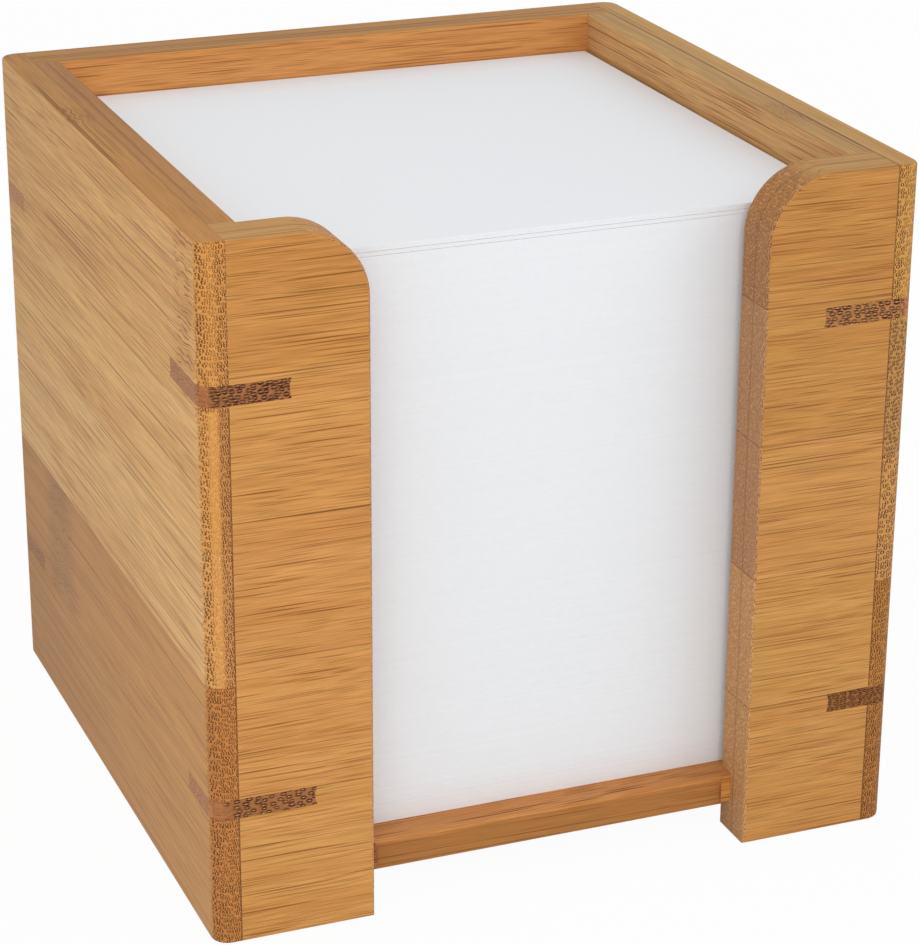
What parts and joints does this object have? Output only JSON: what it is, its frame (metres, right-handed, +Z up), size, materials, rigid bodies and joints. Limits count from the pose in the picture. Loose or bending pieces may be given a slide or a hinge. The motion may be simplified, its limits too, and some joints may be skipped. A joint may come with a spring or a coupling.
{
  "type": "memo cube holder",
  "caption": "Cube-shaped bamboo holder, open at the top, with a finger opening between two front posts, filled with loose square notes.",
  "frame": {"origin": "on the surface it stands on, under the middle of the box", "axes": "+Z up, -Y towards the front with the finger opening, +X to the right seen from the front"},
  "size_m": [0.108, 0.108, 0.105],
  "materials": {
    "post_bamboo": "fine-sanded bamboo strips, thin clear satin oil",
    "light_side_bamboo": "fine-sanded pale bamboo strips, thin clear satin oil",
    "dark_side_bamboo": "fine-sanded browner bamboo strips, thin clear satin oil",
    "back_bamboo": "fine-sanded warm bamboo strips, thin clear satin oil",
    "base_bamboo": "fine-sanded reddish bamboo strips, thin clear satin oil",
    "carbonised_bamboo": "steamed dark bamboo, sanded flush with the walls",
    "note_paper": "uncoated white writing paper, cut edges"
  },
  "bodies": {
    "holder": {"left_side_strip_1": "dark_side_bamboo", "left_side_strip_2": "dark_side_bamboo", "left_side_strip_3": "light_side_bamboo", "left_side_strip_4": "light_side_bamboo", "left_side_strip_5": "light_side_bamboo", "left_post_strip_1": "post_bamboo", "left_post_strip_2": "post_bamboo", "left_post_strip_3": "post_bamboo", "left_post_strip_4": "post_bamboo", "left_post_strip_5": "post_bamboo", "right_side_strip_1": "dark_side_bamboo", "right_side_strip_2": "dark_side_bamboo", "right_side_strip_3": "light_side_bamboo", "right_side_strip_4": "light_side_bamboo", "right_side_strip_5": "light_side_bamboo", "right_post_strip_1": "post_bamboo", "right_post_strip_2": "post_bamboo", "right_post_strip_3": "post_bamboo", "right_post_strip_4": "post_bamboo", "right_post_strip_5": "post_bamboo", "back_strip_1": "back_bamboo", "back_strip_2": "back_bamboo", "back_strip_3": "back_bamboo", "back_strip_4": "back_bamboo", "back_strip_5": "back_bamboo", "front_left_lower_key": "carbonised_bamboo", "front_left_upper_key": "carbonised_bamboo", "front_right_lower_key": "carbonised_bamboo", "front_right_upper_key": "carbonised_bamboo", "back_left_lower_key": "carbonised_bamboo", "back_left_upper_key": "carbonised_bamboo", "back_right_lower_key": "carbonised_bamboo", "back_right_upper_key": "carbonised_bamboo", "base_strip_1": "base_bamboo", "base_strip_2": "base_bamboo", "base_strip_3": "base_bamboo", "base_strip_4": "base_bamboo", "base_strip_5": "base_bamboo"},
    "note_stack": {"note_block": "note_paper", "loose_notes": "note_paper"},
    "top_packet": {"top_notes": "note_paper"}
  },
  "joints": [
    {"name": "stack_lift", "type": "slide", "parent": "holder", "child": "note_stack", "axis": [0, 0, 1], "range_m": [0, 0.1]},
    {"name": "top_lift", "type": "slide", "parent": "note_stack", "child": "top_packet", "axis": [0, 0, 1], "range_m": [0, 0.04]}
  ]
}
